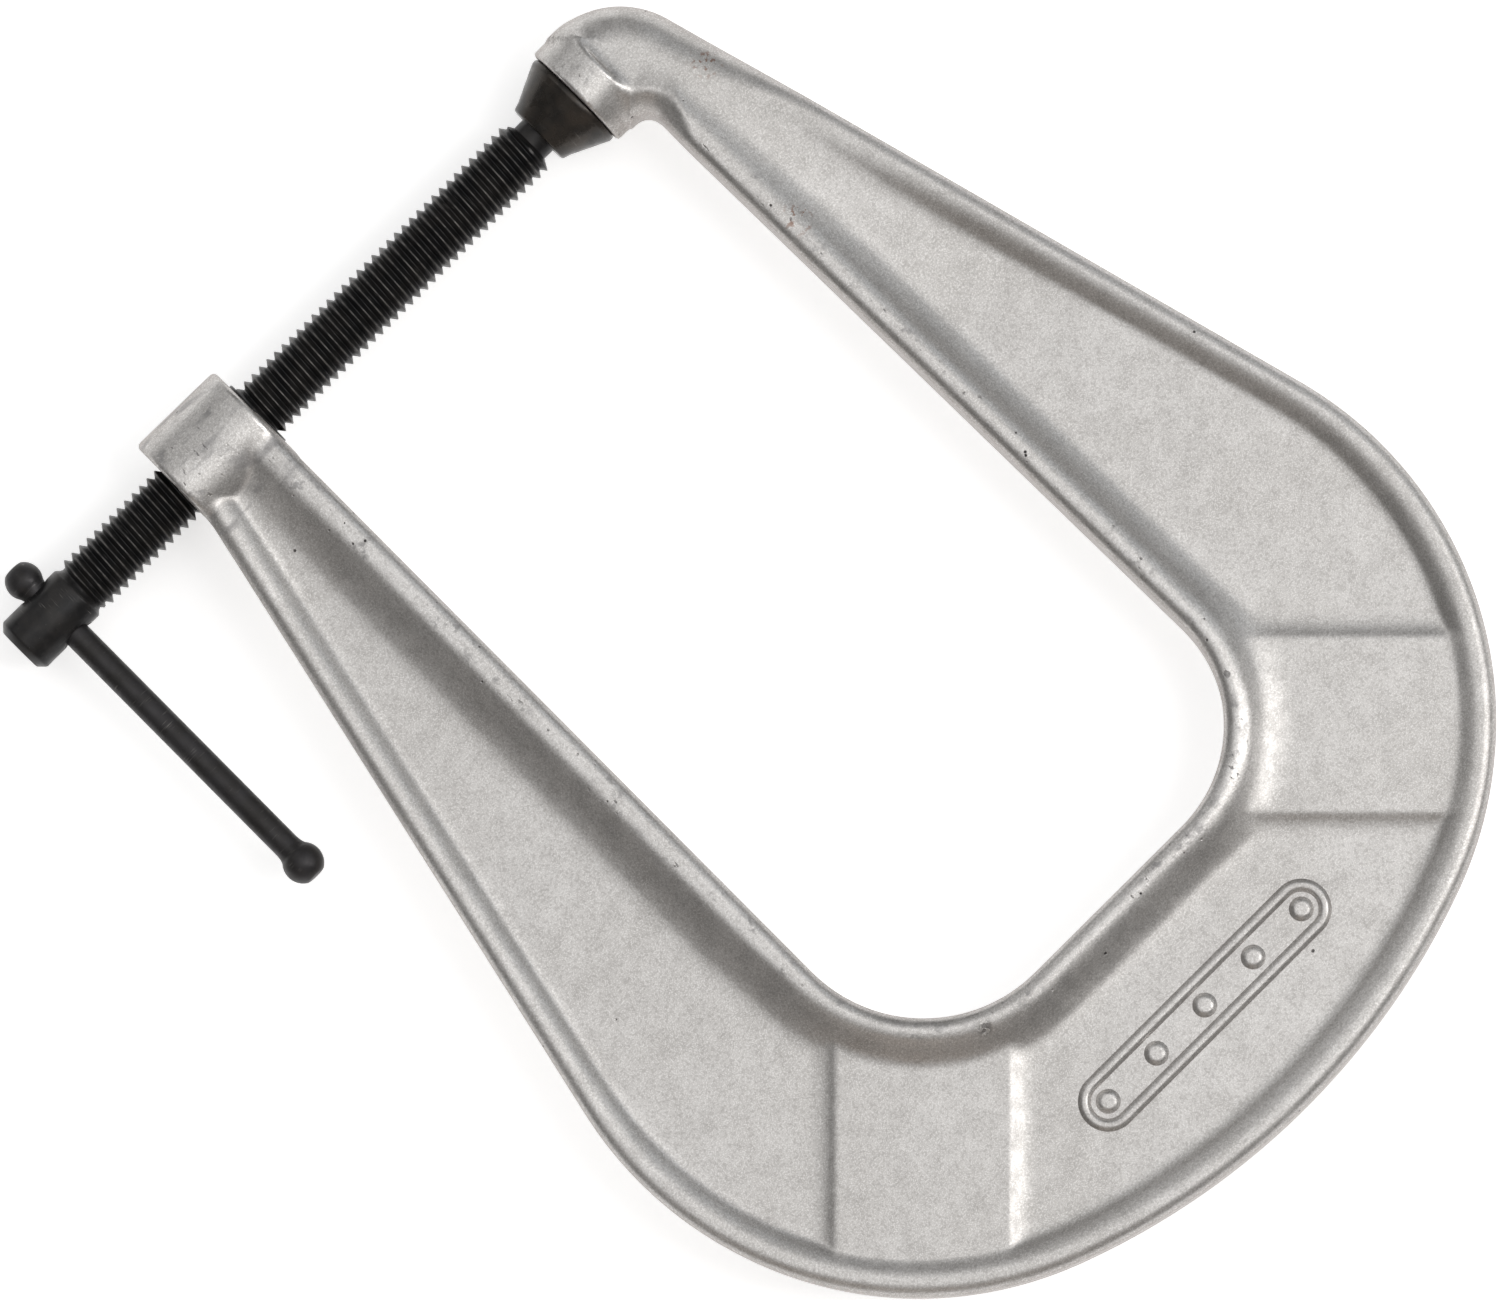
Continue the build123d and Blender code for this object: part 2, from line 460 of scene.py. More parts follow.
class Recipe:
    """Small helper that wires a node material."""

    def __init__(self, name: str) -> None:
        """Start an empty material.

        Args:
            name: Name of the material.
        """
        self.material = bpy.data.materials.new(name)
        self.material.use_nodes = True
        self.tree = self.material.node_tree
        self.tree.nodes.clear()
        self.shader = self.tree.nodes.new("ShaderNodeBsdfPrincipled")
        output = self.tree.nodes.new("ShaderNodeOutputMaterial")
        self.tree.links.new(self.shader.outputs["BSDF"], output.inputs["Surface"])
        self.place = self.tree.nodes.new("ShaderNodeTexCoord").outputs["Object"]

    def feed(self, socket: Node, value: object) -> None:
        """Link a socket, or set its value.

        Args:
            socket: Input to fill.
            value: Output socket, number, or colour.
        """
        if isinstance(value, Node):
            self.tree.links.new(value, socket)
        elif isinstance(value, tuple) and len(value) == 3 and len(socket.default_value) == 4:
            socket.default_value = (*value, 1.0)
        else:
            socket.default_value = value

    def stretch(self, scale: Place) -> Node:
        """Object coordinates scaled along each axis."""
        node = self.tree.nodes.new("ShaderNodeMapping")
        node.inputs["Scale"].default_value = scale
        self.feed(node.inputs["Vector"], self.place)
        return node.outputs["Vector"]

    def noise(self, grain_mm: float, detail: float = 2.0, place: Node | None = None) -> Node:
        """Noise whose blotches are about a given size.

        Args:
            grain_mm: Size of a blotch.
            detail: How many finer layers are added.
            place: Coordinates, or None for the object's own.

        Returns:
            Value from 0 to 1.
        """
        node = self.tree.nodes.new("ShaderNodeTexNoise")
        node.inputs["Scale"].default_value = 1.0 / (grain_mm * MM)
        node.inputs["Detail"].default_value = detail
        self.feed(node.inputs["Vector"], place or self.place)
        return node.outputs["Fac"]

    def cells(self, spacing_mm: float) -> Node:
        """Distance to the nearest of scattered points, in cells.

        Args:
            spacing_mm: Mean spacing of the points.

        Returns:
            Distance, about 0 to 1.
        """
        node = self.tree.nodes.new("ShaderNodeTexVoronoi")
        node.inputs["Scale"].default_value = 1.0 / (spacing_mm * MM)
        self.feed(node.inputs["Vector"], self.place)
        return node.outputs["Distance"]

    def span(self, value: Node, low: float, high: float, first: float = 0.0, last: float = 1.0) -> Node:
        """Map a range of values smoothly onto another.

        Args:
            value: Input value.
            low: Value that gives first.
            high: Value that gives last.
            first: Output at low.
            last: Output at high.

        Returns:
            The mapped value.
        """
        node = self.tree.nodes.new("ShaderNodeMapRange")
        node.interpolation_type = "SMOOTHSTEP"
        for name, number in (("From Min", low), ("From Max", high), ("To Min", first), ("To Max", last)):
            node.inputs[name].default_value = number
        self.feed(node.inputs["Value"], value)
        return node.outputs["Result"]

    def sums(self, kind: str, first: object, second: object) -> Node:
        """Combine two values, as by MULTIPLY or ADD.

        Args:
            kind: Name of the operation.
            first: Socket or number.
            second: Socket or number.

        Returns:
            The result.
        """
        node = self.tree.nodes.new("ShaderNodeMath")
        node.operation = kind
        self.feed(node.inputs[0], first)
        self.feed(node.inputs[1], second)
        return node.outputs["Value"]

    def mix(self, share: object, first: object, second: object) -> Node:
        """Mix two colours.

        Args:
            share: Socket or number, 0 for the first.
            first: Colour or socket.
            second: Colour or socket.

        Returns:
            The mixed colour.
        """
        node = self.tree.nodes.new("ShaderNodeMix")
        node.data_type = "RGBA"
        inputs = {s.identifier: s for s in node.inputs}
        self.feed(inputs["Factor_Float"], share)
        self.feed(inputs["A_Color"], first)
        self.feed(inputs["B_Color"], second)
        return next(s for s in node.outputs if s.identifier == "Result_Color")

    def bump(self, height: Node, depth_mm: float, under: Node | None = None) -> Node:
        """Raise the surface by a height map.

        Args:
            height: Height from 0 to 1.
            depth_mm: What a height of 1 stands for.
            under: Normal from another bump, or None.

        Returns:
            The new normal.
        """
        node = self.tree.nodes.new("ShaderNodeBump")
        node.inputs["Strength"].default_value = 1.0
        node.inputs["Distance"].default_value = depth_mm * MM
        self.feed(node.inputs["Height"], height)
        if under:
            self.feed(node.inputs["Normal"], under)
        return node.outputs["Normal"]

    def pointiness(self) -> Node:
        """How convex the surface is, 0.5 where it is flat."""
        return self.tree.nodes.new("ShaderNodeNewGeometry").outputs["Pointiness"]


@dataclass(frozen=True)
class CastAluminium:
    """Tumbled sand-cast aluminium: grainy and satin, with rims rubbed smoother, pitted and smudged, and
    painted shade on the walls that face sideways.
    """

    name: str = "cast_aluminium_skin"
    light: Colour = (0.61, 0.595, 0.58)
    dark: Colour = (0.56, 0.543, 0.525)
    bright: Colour = (0.80, 0.785, 0.77)
    shadow: Colour = (0.37, 0.355, 0.34)
    # Painted shade: darker, pinker colour for the walls that face sideways.
    side: Colour = (0.44, 0.40, 0.38)
    pit: Colour = (0.07, 0.065, 0.065)
    soot: Colour = (0.24, 0.235, 0.24)
    roughness: float = 0.44
    grain_mm: float = 0.25
    grain_depth_mm: float = 0.010
    crest_mm: tuple[float, float] = (8.3, 9.2)
    boss_beside_mm: tuple[float, float] = (-15.0, -11.0)
    boss_along_mm: tuple[float, float] = (-80.0, -74.0)
    rust: Colour = (0.34, 0.24, 0.20)
    stains: tuple[Place, ...] = ((20.0, -12.5, 8.0), (12.0, -43.0, 9.0))
    chip: Place = (-63.2, -163.6, 8.9)

    def patch(self, r: Recipe, at: Place, reach: float, grain: float, level: float) -> Node:
        """Ragged spot about a place on the casting.

        Args:
            r: The material.
            at: Middle of the spot.
            reach: Its radius.
            grain: Size of its raggedness.
            level: Noise level above which it shows.

        Returns:
            Mask from 0 to 1.
        """
        node = r.tree.nodes.new("ShaderNodeVectorMath")
        node.operation = "DISTANCE"
        r.feed(node.inputs[0], r.place)
        node.inputs[1].default_value = tuple(side * MM for side in at)
        near = r.span(node.outputs["Value"], 0.3 * reach * MM, reach * MM, 1.0, 0.0)
        return r.sums("MULTIPLY", near, r.span(r.noise(grain, 4.0), level, level + 0.08))

    def material(self) -> bpy.types.Material:
        """Build the node material."""
        r = Recipe(self.name)
        split = r.tree.nodes.new("ShaderNodeSeparateXYZ")
        r.feed(split.inputs["Vector"], r.place)
        height = r.sums("ABSOLUTE", split.outputs["Z"], 0.0)
        crest = r.span(height, self.crest_mm[0] * MM, self.crest_mm[1] * MM)
        facing = r.tree.nodes.new("ShaderNodeSeparateXYZ")
        r.feed(facing.inputs["Vector"], r.tree.nodes.new("ShaderNodeNewGeometry").outputs["True Normal"])
        wall = r.span(r.sums("ABSOLUTE", facing.outputs["Z"], 0.0), 0.25, 0.75, 1.0, 0.0)

        clouds = r.noise(26.0, 3.0)
        blotch = r.noise(4.5, 3.0)
        grain = r.noise(self.grain_mm, 1.5)
        sand = r.noise(self.grain_mm * 1.9, 2.0)
        colour = r.mix(r.span(clouds, 0.3, 0.7), self.light, self.dark)
        colour = r.mix(r.span(blotch, 0.45, 0.75, 0.0, 0.30), colour, self.shadow)
        # Painted shade: walls that face sideways, found from the normal, are mixed toward a darker, pinker
        # colour that stands in for the reflections they catch.
        colour = r.mix(r.sums("MULTIPLY", wall, 0.8), colour, self.side)
        colour = r.mix(r.span(grain, 0.46, 0.66, 0.0, 0.70), colour, self.bright)
        colour = r.mix(r.span(sand, 0.46, 0.68, 0.0, 0.45), colour, self.shadow)

        beside, along = ((low * MM, high * MM) for low, high in (self.boss_beside_mm, self.boss_along_mm))
        boss = r.span(split.outputs["Y"], *beside)
        boss = r.sums("MULTIPLY", boss, r.span(split.outputs["X"], *along, 1.0, 0.0))
        smear = r.sums("MULTIPLY", boss, r.span(r.noise(2.4, 6.0, r.stretch((0.35, 1.0, 1.0))), 0.48, 0.70))
        rub = r.sums("MULTIPLY", crest, r.span(r.noise(1.7, 5.0), 0.52, 0.66))
        rub = r.sums("MULTIPLY", rub, r.span(r.noise(9.0, 2.0), 0.45, 0.62))
        rub = r.sums("MAXIMUM", rub, smear)
        colour = r.mix(r.sums("MULTIPLY", rub, 0.55), colour, self.soot)
        for spot in self.stains:
            colour = r.mix(self.patch(r, spot, 4.0, 0.9, 0.56), colour, self.rust)
        chip = r.sums("MULTIPLY", self.patch(r, self.chip, 1.9, 0.8, 0.46), 0.6)
        specks = r.span(r.cells(2.3), 0.07, 0.13, 1.0, 0.0)
        chosen = r.sums("MULTIPLY", r.span(r.noise(7.0, 1.0), 0.52, 0.58), r.sums("MAXIMUM", crest, wall))
        nicks = r.span(r.noise(0.9, 3.0, r.stretch((1.0, 0.4, 1.0))), 0.65, 0.74, 0.0, 0.6)
        nicks = r.sums("MULTIPLY", nicks, r.sums("MULTIPLY", crest, r.span(r.noise(12.0, 1.0), 0.46, 0.54)))
        specks = r.sums("MAXIMUM", r.sums("MULTIPLY", specks, chosen), r.sums("MAXIMUM", nicks, chip))
        few = r.sums("MULTIPLY", r.span(r.cells(15.0), 0.014, 0.022, 1.0, 0.0), 0.9)
        pits = r.sums("MAXIMUM", specks, few)
        colour = r.mix(pits, colour, self.pit)
        r.feed(r.shader.inputs["Base Color"], colour)
        r.feed(r.shader.inputs["Metallic"], 1.0)

        rough = r.span(r.noise(3.2, 3.0), 0.3, 0.7, self.roughness - 0.04, self.roughness + 0.05)
        rough = r.sums("SUBTRACT", rough, r.sums("MULTIPLY", crest, 0.07))
        rough = r.sums("ADD", rough, r.sums("MULTIPLY", r.sums("MAXIMUM", rub, wall), 0.12))
        r.feed(r.shader.inputs["Roughness"], rough)

        waves = r.bump(r.noise(5.0, 1.0), 0.05)
        coarse = r.bump(sand, self.grain_depth_mm * 2.0, waves)
        fine = r.bump(grain, self.grain_depth_mm, coarse)
        dents = r.sums("SUBTRACT", 1.0, r.sums("MAXIMUM", pits, r.sums("MULTIPLY", rub, 0.12)))
        r.feed(r.shader.inputs["Normal"], r.bump(dents, 0.10, fine))
        return r.material


@dataclass(frozen=True)
class BlackOxide:
    """Black-oxided steel: near-black and semi-gloss, with turning marks, edges lighter from wear, and a
    painted highlight along a thread's crests when a crest radius is given.
    """

    name: str
    base: Colour = (0.016, 0.016, 0.017)
    cloud: Colour = (0.030, 0.028, 0.027)
    # Lighter colour for edge wear and scratches, also used for the painted highlight on a thread's crests.
    wear_and_highlight: Colour = (0.20, 0.19, 0.18)
    roughness: float = 0.34
    wear: float = 0.5
    marks: float = 0.5
    turned_axis: int = 0
    # Crest radius of a thread that gets a painted highlight; 0 gives none.
    crest_mm: float = 0.0

    def material(self) -> bpy.types.Material:
        """Build the node material."""
        r = Recipe(self.name)
        scale = [0.06, 0.06, 0.06]
        scale[self.turned_axis] = 1.0
        turning = r.noise(0.22, 1.5, r.stretch(tuple(scale)))
        grit = r.noise(0.30, 2.0)
        colour = r.mix(r.span(r.noise(4.0, 3.0), 0.35, 0.7), self.base, self.cloud)
        # Convex edges go lighter: edge wear, which on a thread's sharp crests also works as a painted
        # highlight.
        edge = r.span(r.pointiness(), 0.54, 0.66)
        edge = r.sums("MULTIPLY", edge, r.span(r.noise(0.9, 3.0), 0.35, 0.65, 0.15, self.wear))
        marked = r.span(r.noise(3.5, 2.0), 0.5, 0.68, 0.0, self.marks)
        scratch = r.sums("MULTIPLY", r.span(turning, 0.60, 0.74), marked)
        fleck = r.span(grit, 0.68, 0.80, 0.0, self.marks * 0.5)
        light = r.sums("MAXIMUM", edge, r.sums("MAXIMUM", scratch, fleck))
        # Painted highlight: a thin band just inside the crest radius is mixed toward the lighter colour,
        # standing in for the crests catching the light from above.
        if self.crest_mm:
            reach = r.tree.nodes.new("ShaderNodeVectorMath")
            reach.operation = "LENGTH"
            r.feed(reach.inputs[0], r.stretch((0.0, 1.0, 1.0)))
            crest = r.span(reach.outputs["Value"], (self.crest_mm - 0.14) * MM, (self.crest_mm - 0.02) * MM)
            crest = r.sums("MULTIPLY", crest, r.span(r.noise(1.5, 3.0), 0.35, 0.65, 0.12, 0.55))
            light = r.sums("MAXIMUM", light, crest)
        r.feed(r.shader.inputs["Base Color"], r.mix(light, colour, self.wear_and_highlight))
        r.feed(r.shader.inputs["Metallic"], 0.55)
        rough = r.span(r.noise(1.6, 3.0), 0.3, 0.7, self.roughness - 0.06, self.roughness + 0.10)
        r.feed(r.shader.inputs["Roughness"], rough)
        r.feed(r.shader.inputs["Normal"], r.bump(grit, 0.008, r.bump(turning, 0.008)))
        return r.material


def dress(piece: Piece, material: bpy.types.Material, body: Body, nodes: tuple[str, ...]) -> None:
    """Give a piece its finish, its body and the CAD nodes it stands for.

    Args:
        piece: The piece.
        material: Its finish.
        body: CAD body that it rides on.
        nodes: CAD nodes that it replaces.
    """
    piece.data.materials.clear()
    piece.data.materials.append(material)
    if nodes:
        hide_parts(*nodes)
    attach(piece, body.value)


def lathe(name: str, profile: Points, along: int, segments: int = 96, crease: float = 38.0) -> Piece:
    """Turn a profile about the screw's axis or about a line parallel to Y.

    Args:
        name: Name of the piece.
        profile: Points (place along the axis, radius), joined up into a ring.
        along: Axis of turning, 0 for X and 1 for Y.
        segments: Faces round the turn.
        crease: Degrees above which edges are shaded sharp.

    Returns:
        The piece, centred on that axis.
    """
    turn = np.linspace(0.0, 2 * math.pi, segments, endpoint=False)[None, :]
    place = np.array([p[0] for p in profile])[:, None] + 0.0 * turn
    radius = np.array([max(p[1], 0.0) for p in profile])[:, None]
    u, v = radius * np.cos(turn), radius * np.sin(turn)
    grid = np.stack((place, u, v) if along == 0 else (v, place, u), 2)
    ring = np.arange(grid.shape[0] * segments).reshape(-1, segments)
    near, far = ring, np.roll(ring, -1, axis=0)
    faces = np.stack((near, np.roll(near, -1, 1), np.roll(far, -1, 1), far), 2).reshape(-1, 4)
    return new_piece(name, *welded(grid.reshape(-1, 3), faces), crease)


@dataclass
class CastFrame:
    """The cast body: rims, web, stiffened corners, anvil and boss, in millimetres."""

    rim_half: float = 9.3
    outer_half: float = 7.2
    web_half: float = 4.7
    pad_half: float = 6.0
    block_half: float = 7.7
    pad_width: float = 29.7
    throat_depth: float = 162.8
    anvil_height: float = 7.2
    upper_draft: float = 0.8
    corner_upper: float = 24.3
    corner_lower: float = 26.9
    corner_anvil: float = 3.4
    back_radius: float = 131.0
    back_corner: float = 67.0
    slope_upper: float = 14.85
    slope_lower: float = 12.43
    upper_root: float = 20.2
    anvil_round: float = 16.3
    anvil_radius: float = 10.35
    anvil_length: float = 6.6
    block_start: float = 3.2
    edge: float = 2.3
    knuckle_edge: float = 7.0
    anvil_edge: float = 0.5
    boss_edge: float = 0.9
    edge_change: float = 2.0
    bore_radius: float = 6.35
    boss_face: float = -77.3
    boss_web_half: float = 6.2
    boss_rim_half: float = 8.4
    boss_taper: float = 0.015
    bore_until: float = -60.0
    back_from: tuple[float, float] = (-115.0, -150.0)
    upper_from: tuple[float, float] = (-50.0, -20.0)
    corner_depth: float = 45.0
    cove_steep: float = 5.0
    cove_foot: float = 17.0
    cove_sink: float = 0.5
    cove_reach: tuple[float, float] = (10.0, -2.0)
    shallow_foot: float = 12.0
    rim_join: float = 0.9
    web_join: tuple[float, float] = (0.8, 1.4)
    boss_join: float = 0.8
    anvil_join: float = 2.1
    outside_join: float = 0.15
    throat_join: float = 1.0
    flank: tuple[float, float] = (6.0, 9.5)
    inner_lower: Slope = Slope(3.4, 6.0, 15.5)
    inner_upper: Slope = Slope(2.8, 5.4, 12.5)
    inner_back: Slope = Slope(2.2, 5.4, 12.6)
    inner_anvil: Slope = Slope(3.2, 4.6, 9.5)
    outer_arm: Slope = Slope(2.0, 5.2, 7.8)
    outer_back: Slope = Slope(2.8, 6.0, 8.6)
    step_slope: Slope = Slope(-0.5, 0.8, 4.9)
    block_zone: Zone = Zone(12.0, 1.0, 7.0, 80.0)
    shallow_zone: Zone = Zone(12.0, 1.0, 7.0, 105.0)
    anvil_zone: Zone = Zone(12.0, 1.0, 7.0, 34.0)
    boss_zone: Zone = Zone(-86.5, 0.0, 6.0, 34.0)
    knuckle_zone: Zone = Zone(8.0, 1.0, 9.0, 40.0)
    block_end_zone: Zone = Zone(8.0, 1.0, 11.0, 22.0)
    step: float = 0.62
    quick_step: float = 0.85

    def __post_init__(self) -> None:
        """Read what the CAD model settles."""
        low, high = node_box("frame_casting")
        bushing_low, _ = node_box("threaded_bushing")
        self.low, self.high = low, high
        self.boss_radius = high.z
        self.boss_end = bushing_low.x
        self.back_y = low.y
        self.throat_x = self.anvil_height + self.throat_depth * math.tan(math.radians(self.upper_draft))
        self.middle_x = (self.throat_x + self.boss_face) / 2

    def outer_ring(self) -> Points:
        """Outline of the outside, run on past the anvil and the boss."""
        up = math.radians(self.slope_upper)
        down = math.radians(self.slope_lower)
        centre = np.array([self.middle_x, self.back_y + self.back_radius])
        upper_at = np.array([self.upper_root, 0.0])
        upper_out = np.array([math.cos(up), math.sin(up)])
        lower_at = np.array([self.boss_end, -self.boss_radius / math.sqrt(2)])
        lower_out = np.array([-math.cos(down), math.sin(down)])
        inner = self.back_radius - self.back_corner

        def corner_centre(at: np.ndarray, out: np.ndarray) -> np.ndarray:
            """Centre of the back corner that touches a side and the back's curve."""
            along = np.array([-out[1], out[0]]) * (1 if out[0] < 0 else -1)
            base = at - out * self.back_corner
            gap = base - centre
            half = gap @ along
            return base + along * (-half + math.sqrt(half * half - gap @ gap + inner * inner))

        high_c = corner_centre(upper_at, upper_out)
        low_c = corner_centre(lower_at, lower_out)
        high_t = math.atan2(*(high_c - centre)[::-1])
        low_t = math.atan2(*(low_c - centre)[::-1])
        anvil_y = self.anvil_radius
        sharp_x = self.upper_root - anvil_y * math.tan(up)
        knuckle = corner([(-PAST, anvil_y)], (sharp_x, anvil_y), [tuple(upper_at)], self.anvil_round)
        return (
            [(-PAST, anvil_y)]
            + knuckle
            + arc(high_c, self.back_corner, up, high_t)
            + arc(centre, self.back_radius, high_t, low_t)
            + arc(low_c, self.back_corner, low_t, -math.pi - down)
            + [tuple(lower_at), (self.boss_end, -1.0), (-PAST, -1.0)]
        )

    def throat_ring(self) -> Points:
        """Outline of the throat, run on past the screw."""
        face, back, top = self.boss_face, -self.throat_depth, self.throat_x
        anvil_y = -self.anvil_radius
        return (
            [(face, PAST)]
            + corner([(face, 0.0)], (face, back), [(0.0, back)], self.corner_lower)
            + corner([(0.0, back)], (top, back), [(self.anvil_height, anvil_y)], self.corner_upper)
            + corner([(top, back)], (self.anvil_height, anvil_y), [(-PAST, anvil_y)], self.corner_anvil)
            + [(self.block_start, anvil_y), (self.block_start, PAST)]
        )

    def web(self, x: np.ndarray, y: np.ndarray) -> np.ndarray:
        """Half thickness of the web, with the stiffened corners and the run-outs at the two ends."""
        fall = self.step_slope.fall(self.corner_gap(x, y))
        return self.run_out(blend(self.pad_half, self.web_half, fall), x, y)

    def run_out(self, level: np.ndarray | float, x: np.ndarray, y: np.ndarray) -> np.ndarray:
        """Thicken a level towards the anvil and the boss.

        Args:
            level: Half thickness in the arms.
            x: X of the places.
            y: Y of the places.

        Returns:
            Half thickness with the run-outs.
        """
        level = blend(level, self.block_half, self.block_zone.share(x, y))
        return blend(level, self.boss_web_half, self.boss_zone.share(x, y))

    def corner_gap(self, x: np.ndarray, y: np.ndarray) -> np.ndarray:
        """Distance to the nearer stiffened corner, a band on the diagonal through a throat corner.

        Args:
            x: X of the places.
            y: Y of the places.

        Returns:
            Distances, negative inside a band.
        """
        root = math.sqrt(0.5)
        upper = np.abs((x - self.throat_x) * root + (y + self.throat_depth) * root)
        lower = np.abs((y + self.throat_depth) * root - (x - self.boss_face) * root)
        gap = np.minimum(upper, lower) - self.pad_width / 2
        return np.where(y < self.corner_depth - self.throat_depth, gap, FAR)

    def skin(self, x: np.ndarray, y: np.ndarray, outer: np.ndarray, inner: np.ndarray) -> np.ndarray:
        """Half thickness over the plan, from the web up to the rims.

        Args:
            x: X of the places.
            y: Y of the places.
            outer: Distance in from the outside.
            inner: Distance in from the throat.

        Returns:
            Height of the surface above the middle plane.
        """
        back = smooth_step(*self.back_from, y)
        shallow = self.shallow_zone.share(x, y)
        long_cove = smooth_step(*self.cove_reach, self.corner_gap(x, y)) * (x > self.middle_x)
        inner_slope = self.inner_lower.eased(self.inner_upper, smooth_step(*self.upper_from, x))
        inner_slope = inner_slope.eased(self.inner_back, back)
        coved = replace(inner_slope, steep=self.cove_steep, foot=self.cove_foot)
        inner_slope = inner_slope.eased(coved, long_cove).eased(self.inner_anvil, self.anvil_zone.share(x, y))
        outer_slope = self.outer_arm.eased(self.outer_back, back)
        outer_slope = outer_slope.eased(replace(outer_slope, foot=self.shallow_foot), shallow)
        floor = self.run_out(self.web_half, x, y) - self.cove_sink * long_cove
        high_in = self.rim_half - (self.rim_half - floor) * inner_slope.fall(inner)
        crest = blend(self.outer_half, self.block_half, shallow)
        crest = blend(crest, self.boss_rim_half, self.boss_zone.share(x, y))
        high_out = crest - np.maximum(crest - floor, 0.0) * outer_slope.fall(outer)
        rims = -soft_join(-high_in, -high_out, self.rim_join)
        return -soft_join(-rims, -self.web(x, y), blend(*self.web_join, long_cove))

    def plan(self, x: np.ndarray, y: np.ndarray) -> tuple[np.ndarray, np.ndarray, np.ndarray]:
        """What depends on the place in the clamp's plane alone.

        Args:
            x: X of the places.
            y: Y of the same places.

        Returns:
            Distance to the outline, half thickness, and rounding of the edge.
        """
        outer = -ring_distance(self.outer_ring(), x, y)
        inner = ring_distance(self.throat_ring(), x, y)
        half = self.skin(x, y, outer, inner)
        edge_out = blend(self.edge, self.knuckle_edge, self.knuckle_zone.share(x, y))
        edge_in = blend(self.edge, self.knuckle_edge, self.block_end_zone.share(x, y))
        inward = blend(edge_out, edge_in, smooth_step(self.edge_change, -self.edge_change, inner - outer))
        return -np.minimum(outer, inner), half, np.where(outer < inner, edge_out, inward)

    def solid(self, x: np.ndarray, y: np.ndarray, z: np.ndarray, plan: tuple[np.ndarray, ...]) -> np.ndarray:
        """Distance to the casting's surface.

        Args:
            x: X of the places.
            y: Y of the places.
            z: Z of the places.
            plan: What plan() gives for them.

        Returns:
            Distances, negative in the metal.
        """
        outline, half, edge = plan
        body = rounded_meet(np.abs(z) - half, outline, edge)
        axis = np.hypot(y, z)
        anvil = rounded_meet(axis - self.anvil_radius, np.maximum(-x, x - self.anvil_length), self.anvil_edge)
        taper = (x - self.boss_end) * self.boss_taper
        span = np.maximum(self.boss_end - x, x - self.boss_face)
        boss = rounded_meet(axis - self.boss_radius + taper, span, self.boss_edge)
        # The fillet dies out at the anvil's flanks, where the two solids are flush.
        flush = np.where(y > 0.0, self.outside_join, self.throat_join)
        fillet = blend(self.anvil_join, flush, smooth_step(*self.flank, np.abs(y)))
        body = soft_join(soft_join(body, anvil, fillet), boss, self.boss_join)
        return np.maximum(body, np.minimum(self.bore_radius - axis, self.bore_until - x))

    def settle(self, points: np.ndarray) -> tuple[np.ndarray, np.ndarray]:
        """Move the mesh's vertices onto the true surface.

        Args:
            points: Places of the vertices.

        Returns:
            New places and the surface's normals there.
        """
        nudge = 0.02
        slope = np.zeros_like(points)
        for last in (False, True):
            x, y, z = points.T
            plan = self.plan(x, y)
            here = self.solid(x, y, z, plan)
            slope[:, 0] = self.solid(x + nudge, y, z, self.plan(x + nudge, y)) - here
            slope[:, 1] = self.solid(x, y + nudge, z, self.plan(x, y + nudge)) - here
            slope[:, 2] = self.solid(x, y, z + nudge, plan) - here
            slope /= nudge
            length = np.maximum(np.linalg.norm(slope, axis=1), 0.3)
            if not last:
                move = np.clip(here / length, -self.step / 3, self.step / 3)
                points = points - slope / length[:, None] * move[:, None]
        return points, slope / np.linalg.norm(slope, axis=1)[:, None]

    def build(self) -> Piece:
        """Make the casting's mesh."""
        margin = 2.0 * self.step
        origin = np.array(self.low) - margin
        size = np.array(self.high) + margin - origin
        shape = tuple(int(n) for n in np.ceil(size / self.step) + 1)
        xs, ys, zs = (origin[n] + self.step * np.arange(shape[n]) for n in range(3))
        x, y = np.meshgrid(xs, ys, indexing="ij")
        plan = tuple(part[..., None] for part in self.plan(x, y))
        field = self.solid(x[..., None], y[..., None], zs[None, None, :], plan).astype(np.float32)
        vertices, quads = surface_net(field, origin, self.step)
        vertices, normals = self.settle(relax(vertices, quads, 2))
        piece = new_piece("cast_frame", vertices, quads.tolist())
        piece.data.normals_split_custom_set_from_vertices(normals.tolist())
        dress(piece, CastAluminium().material(), Body.FRAME, ("frame_casting",))
        return piece


